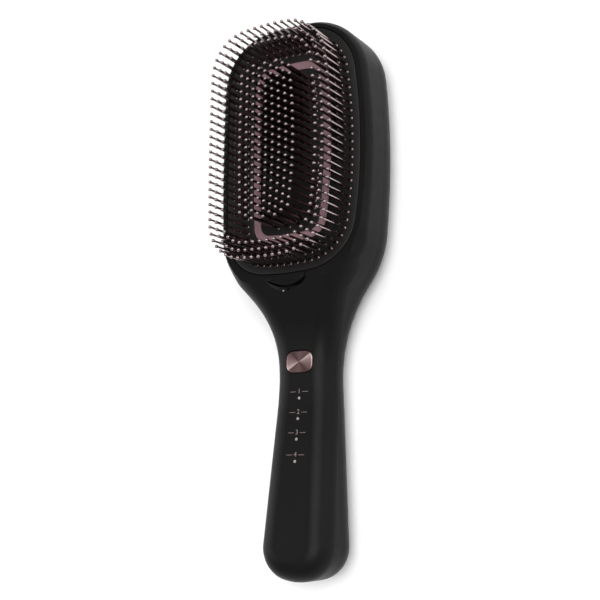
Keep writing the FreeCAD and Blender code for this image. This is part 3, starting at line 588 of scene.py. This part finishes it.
def edge_wall(loop, inset, way, points, faces):
    """Rounded edge and side wall down to the plate's underside; way is 1 outside, and below 0 in a hole."""
    before = loop
    for share in EDGE_ROWS:
        a = share * pi / 2
        moved = head_loop(inset + EDGE_ROUND * way * (1 - sin(a)))
        here = add_row([(p.x, p.y, face_z(p.y) - EDGE_ROUND * (1 - cos(a))) for p in moved], points)
        bridge(before, here, faces, flipped=way < 0)
        before = here
    here = add_row([(p.x, p.y, plate_low.z) for p in moved], points)
    bridge(before, here, faces, flipped=way < 0)
    return here


def face_skin(name, node, outer_inset, inner_inset, tips, material):
    """Plate of the bristle face with a dimple round each bristle, and a hole if it has an inner inset."""
    sides = [(outer_inset, 1.0)]
    if inner_inset:
        sides.append((inner_inset, HOLE_WAY))
    outlines = [head_loop(inset + EDGE_ROUND * way) for inset, way in sides]
    rims = [circle(x, y, DIMPLE_RADIUS, DIMPLE_SIDES) for x, y, z, ball in tips]
    points, faces, loops = flat_plate(outlines, rims, tips)
    for rim, (x, y, z, ball) in zip(loops[len(sides):], tips):
        dimple(x, y, rim, points, faces)
    bottoms = [edge_wall(loop, inset, way, points, faces) for loop, (inset, way) in zip(loops, sides)]
    if inner_inset:
        bridge(*bottoms, faces)
    else:
        faces.append(tuple(reversed(bottoms[0])))
    make_piece(name, points, faces, material, "bristle_head", node, FACE_SHARP)


# ---------------------------------------------------------------- printed numerals

def surface(node):
    """Search tree over a CAD node's mesh."""
    mesh = nodes[node].data
    faces = [tuple(p.vertices) for p in mesh.polygons]
    return BVHTree.FromPolygons([v.co for v in mesh.vertices], faces)


NUMERAL_HEIGHT = 1.9 * MM
# height of the print above the housing, and its distance from its lamp towards the key
NUMERAL_LIFT = 0.02 * MM
NUMERAL_RISE = 2.7 * MM
# height of a numeral as a share of the font's size
FONT_SHARE = 0.7
# height from which the housing is searched downwards
SEARCH_HEIGHT = 0.2
# the lamps' ends lie within this depth of the highest one, and two lamps are further apart than the gap
LAMP_ZONE = 8 * MM
LAMP_GAP = 4 * MM


def lamp_centres():
    """Middles of the four light pipe ends, from the key towards the butt."""
    mesh = nodes["light_pipes"].data
    low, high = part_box("light_pipes")
    seen = []
    for vertex in mesh.vertices:
        if vertex.co.z > high.z - LAMP_ZONE and all(abs(vertex.co.y - y) > LAMP_GAP for y in seen):
            seen.append(vertex.co.y)
    centres = []
    for y in seen:
        near = [v.co.y for v in mesh.vertices if abs(v.co.y - y) < LAMP_GAP]
        centres.append((min(near) + max(near)) / 2)
    return sorted(centres, reverse=True)


def numeral(text, y, deck, material, name):
    """Printed sign between two dashes, centred across the housing and laid on it."""
    curve = bpy.data.curves.new(name, "FONT")
    curve.body = "\u2014 " + text + " \u2014"
    curve.size = NUMERAL_HEIGHT / FONT_SHARE
    curve.align_x = "CENTER"
    curve.align_y = "CENTER"
    curve.resolution_u = 6
    maker = bpy.data.objects.new(name, curve)
    bpy.context.scene.collection.objects.link(maker)
    bpy.context.view_layer.update()
    mesh = bpy.data.meshes.new_from_object(maker.evaluated_get(bpy.context.evaluated_depsgraph_get()))
    bpy.data.objects.remove(maker)
    points = []
    for vertex in mesh.vertices:
        above = Vector((vertex.co.x, vertex.co.y + y, SEARCH_HEIGHT))
        hit = deck.ray_cast(above, Vector((0, 0, -1)))
        points.append((above.x, above.y, hit[0].z + NUMERAL_LIFT))
    faces = [tuple(p.vertices) for p in mesh.polygons]
    make_piece(name, points, faces, material, "handle")


# ---------------------------------------------------------------- latch spring

def bending_spring(material):
    """Copy of the latch spring with the given finish, standing in for the CAD node."""
    mesh = nodes["latch_spring"].data.copy()
    mesh.materials.clear()
    mesh.materials.append(material)
    piece = bpy.data.objects.new("bending_latch_spring", mesh)
    bpy.context.scene.collection.objects.link(piece)
    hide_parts("latch_spring")
    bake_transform(piece)


# ---------------------------------------------------------------- stage, light and camera

# camera: angles in radians, place in metres, lens and sensor in millimetres
CAMERA_TURN = -0.5513
CAMERA_TILT = -0.1804
CAMERA_ROLL = -0.0048
CAMERA_PLACE = Vector((0.2232, -0.0798, 0.3841))
CAMERA_LENS = 62.706
CAMERA_SENSOR = 36
FLOOR_HALF = 6.0


def camera():
    """Camera at the reference viewing angle."""
    data = bpy.data.cameras.new("camera")
    data.lens = CAMERA_LENS
    data.sensor_width = CAMERA_SENSOR
    camera_object = bpy.data.objects.new("camera", data)
    turn = (Matrix.Rotation(CAMERA_ROLL, 3, "Z") @ Matrix.Rotation(CAMERA_TILT, 3, "X")
            @ Matrix.Rotation(CAMERA_TURN, 3, "Y"))
    matrix = turn.transposed().to_4x4()
    matrix.translation = CAMERA_PLACE
    camera_object.matrix_world = matrix
    bpy.context.scene.collection.objects.link(camera_object)
    bpy.context.scene.camera = camera_object


def floor():
    """Plain pale floor under the brush."""
    material, tree, shader = new_material("pale_floor")
    shader.inputs["Roughness"].default_value = 0.9
    shader.inputs["Specular IOR Level"].default_value = 0.1
    pale = tones(tree, noise(tree, 4, 2), (0.93, 0.93, 0.93), (0.95, 0.95, 0.95))
    tree.links.new(pale, shader.inputs["Base Color"])
    corners = [(x * FLOOR_HALF, y * FLOOR_HALF, 0) for x, y in ((-1, -1), (1, -1), (1, 1), (-1, 1))]
    mesh = bpy.data.meshes.new("floor")
    mesh.from_pydata(corners, [], [(0, 1, 2, 3)])
    mesh.materials.append(material)
    piece = bpy.data.objects.new("floor", mesh)
    bpy.context.scene.collection.objects.link(piece)


def sun(name, direction, strength, spread_angle):
    """Very soft distant light that comes from a direction."""
    data = bpy.data.lights.new(name, "SUN")
    data.energy = strength
    data.angle = radians(spread_angle)
    light = bpy.data.objects.new(name, data)
    light.rotation_euler = Vector(direction).to_track_quat("Z", "Y").to_euler()
    bpy.context.scene.collection.objects.link(light)


def panel(name, place, target, width, length, power):
    """Rectangular soft box that faces a target."""
    data = bpy.data.lights.new(name, "AREA")
    data.shape = "RECTANGLE"
    data.size = width
    data.size_y = length
    data.energy = power
    light = bpy.data.objects.new(name, data)
    light.location = place
    light.rotation_euler = (Vector(place) - Vector(target)).to_track_quat("Z", "Y").to_euler()
    bpy.context.scene.collection.objects.link(light)


def lights():
    """Plain soft studio light: a pale horizon under a dimmer ceiling, a soft sun and two soft boxes."""
    world = bpy.data.worlds.new("studio")
    world.use_nodes = True
    tree = world.node_tree
    place = tree.nodes.new("ShaderNodeTexCoord")
    split = tree.nodes.new("ShaderNodeSeparateXYZ")
    tree.links.new(place.outputs["Generated"], split.inputs["Vector"])
    horizon, middle, ceiling = (0.75, 0.75, 0.75), (0.4, 0.4, 0.4), (0.16, 0.16, 0.16)
    sky = ramp(tree, split.outputs["Z"], [(0.0, horizon), (0.25, middle), (0.7, ceiling)])
    tree.links.new(sky, tree.nodes["Background"].inputs["Color"])
    bpy.context.scene.world = world
    sun("overhead", (0.35, 0.1, 1), 3.0, 50)
    panel("right_strip", (0.9, 0.1, 0.25), (0, 0.03, 0.02), 0.16, 0.9, 1.7)
    panel("left_fill", (-0.9, 0.0, 0.5), (0, 0.0, 0.02), 0.5, 0.9, 4.0)


# ---------------------------------------------------------------- put together

def finish_node(material, *names):
    """Give carried-over CAD nodes a finish."""
    for name in names:
        mesh = nodes[name].data
        mesh.materials.clear()
        mesh.materials.append(material)


def finish_housing():
    """Finishes of the housing and of the plastic carriers inside it."""
    inner_black = moulded("inner_black", (0.02, 0.02, 0.021), 0.55, 3000, 0.01 * MM)
    finish_node(soft_touch_black(), "front_shell", "back_cover", "release_tab")
    finish_node(inner_black, "dock_plate", "motor_holder", "battery_cradle", "carrier_plate", "module_base")
    finish_node(diffuser_mauve(), "light_ring")
    key_low, key_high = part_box("power_button")
    finish_node(key_rose_gold((key_low + key_high) / 2), "power_button")


def finish_metal(steel):
    """Finishes of the metal pieces."""
    nickel = metal("nickel", (0.66, 0.64, 0.6), 0.18)
    gold = metal("gold_plate", (0.83, 0.62, 0.28), 0.22)
    heavy = metal("heavy_metal", (0.25, 0.25, 0.26), 0.5)
    finish_node(metal("dull_steel", (0.2, 0.2, 0.2), 0.4), "guide_pin")
    finish_node(steel, "dock_screws", "module_screws", "motor_can", "motor_shaft", "charging_socket")
    finish_node(nickel, "dock_magnets", "module_magnets")
    finish_node(gold, "dock_contacts", "contact_pads")
    finish_node(heavy, "eccentric_weight")


def finish_electronics():
    """Finishes of the battery, the boards and the lamps."""
    wrap = moulded("battery_wrap", (0.12, 0.14, 0.18), 0.35, 1500, 0.004 * MM)
    component = moulded("component_black", (0.025, 0.025, 0.025), 0.4, 4000, 0.004 * MM)
    finish_node(wrap, "battery")
    finish_node(component, "board_parts", "tact_switch", "switch_plunger")
    finish_node(circuit_green(), "main_board", "lamp_board", "socket_board")
    finish_node(lamp_lens(), "light_pipes", "status_leds", "treatment_leds")


def bristle_face():
    """Bristles of the three rings and the middle field, and the two plates that they stand in."""
    pin_metal = bristle_metal()
    face_black = moulded("face_black", (0.0072, 0.0067, 0.0065), 0.42, 3800, 0.006 * MM, specular=0.2)
    outer_tips = []
    for number in (1, 2, 3):
        node = "pin_ring_%d" % number
        outer_tips += pin_tips(node)
        bristles("bristle_ring_%d" % number, node, pin_metal)
    bristles("island_bristles", "island_combs", pin_metal)
    island_tips = pin_tips("island_combs")
    face_skin("bristle_face", "face_plate", FACE_INSET, RING_INSET, outer_tips, face_black)
    face_skin("island_face", "island_plate", RING_INSET + RING_WIDTH, 0, island_tips, face_black)


def numerals():
    """Numerals 1 to 4, one by each lamp."""
    deck = surface("front_shell")
    ink = printed_mauve()
    for number, y in enumerate(lamp_centres(), 1):
        numeral(str(number), y + NUMERAL_RISE, deck, ink, "numeral_%d" % number)


def build():
    """The whole look, its stage and its camera."""
    steel = metal("bright_steel", (0.62, 0.62, 0.62), 0.28, LENGTHWISE)
    finish_housing()
    finish_metal(steel)
    finish_electronics()
    bristle_face()
    numerals()
    bending_spring(steel)
    floor()
    lights()
    camera()
    bpy.context.scene.view_settings.view_transform = "Standard"


build()
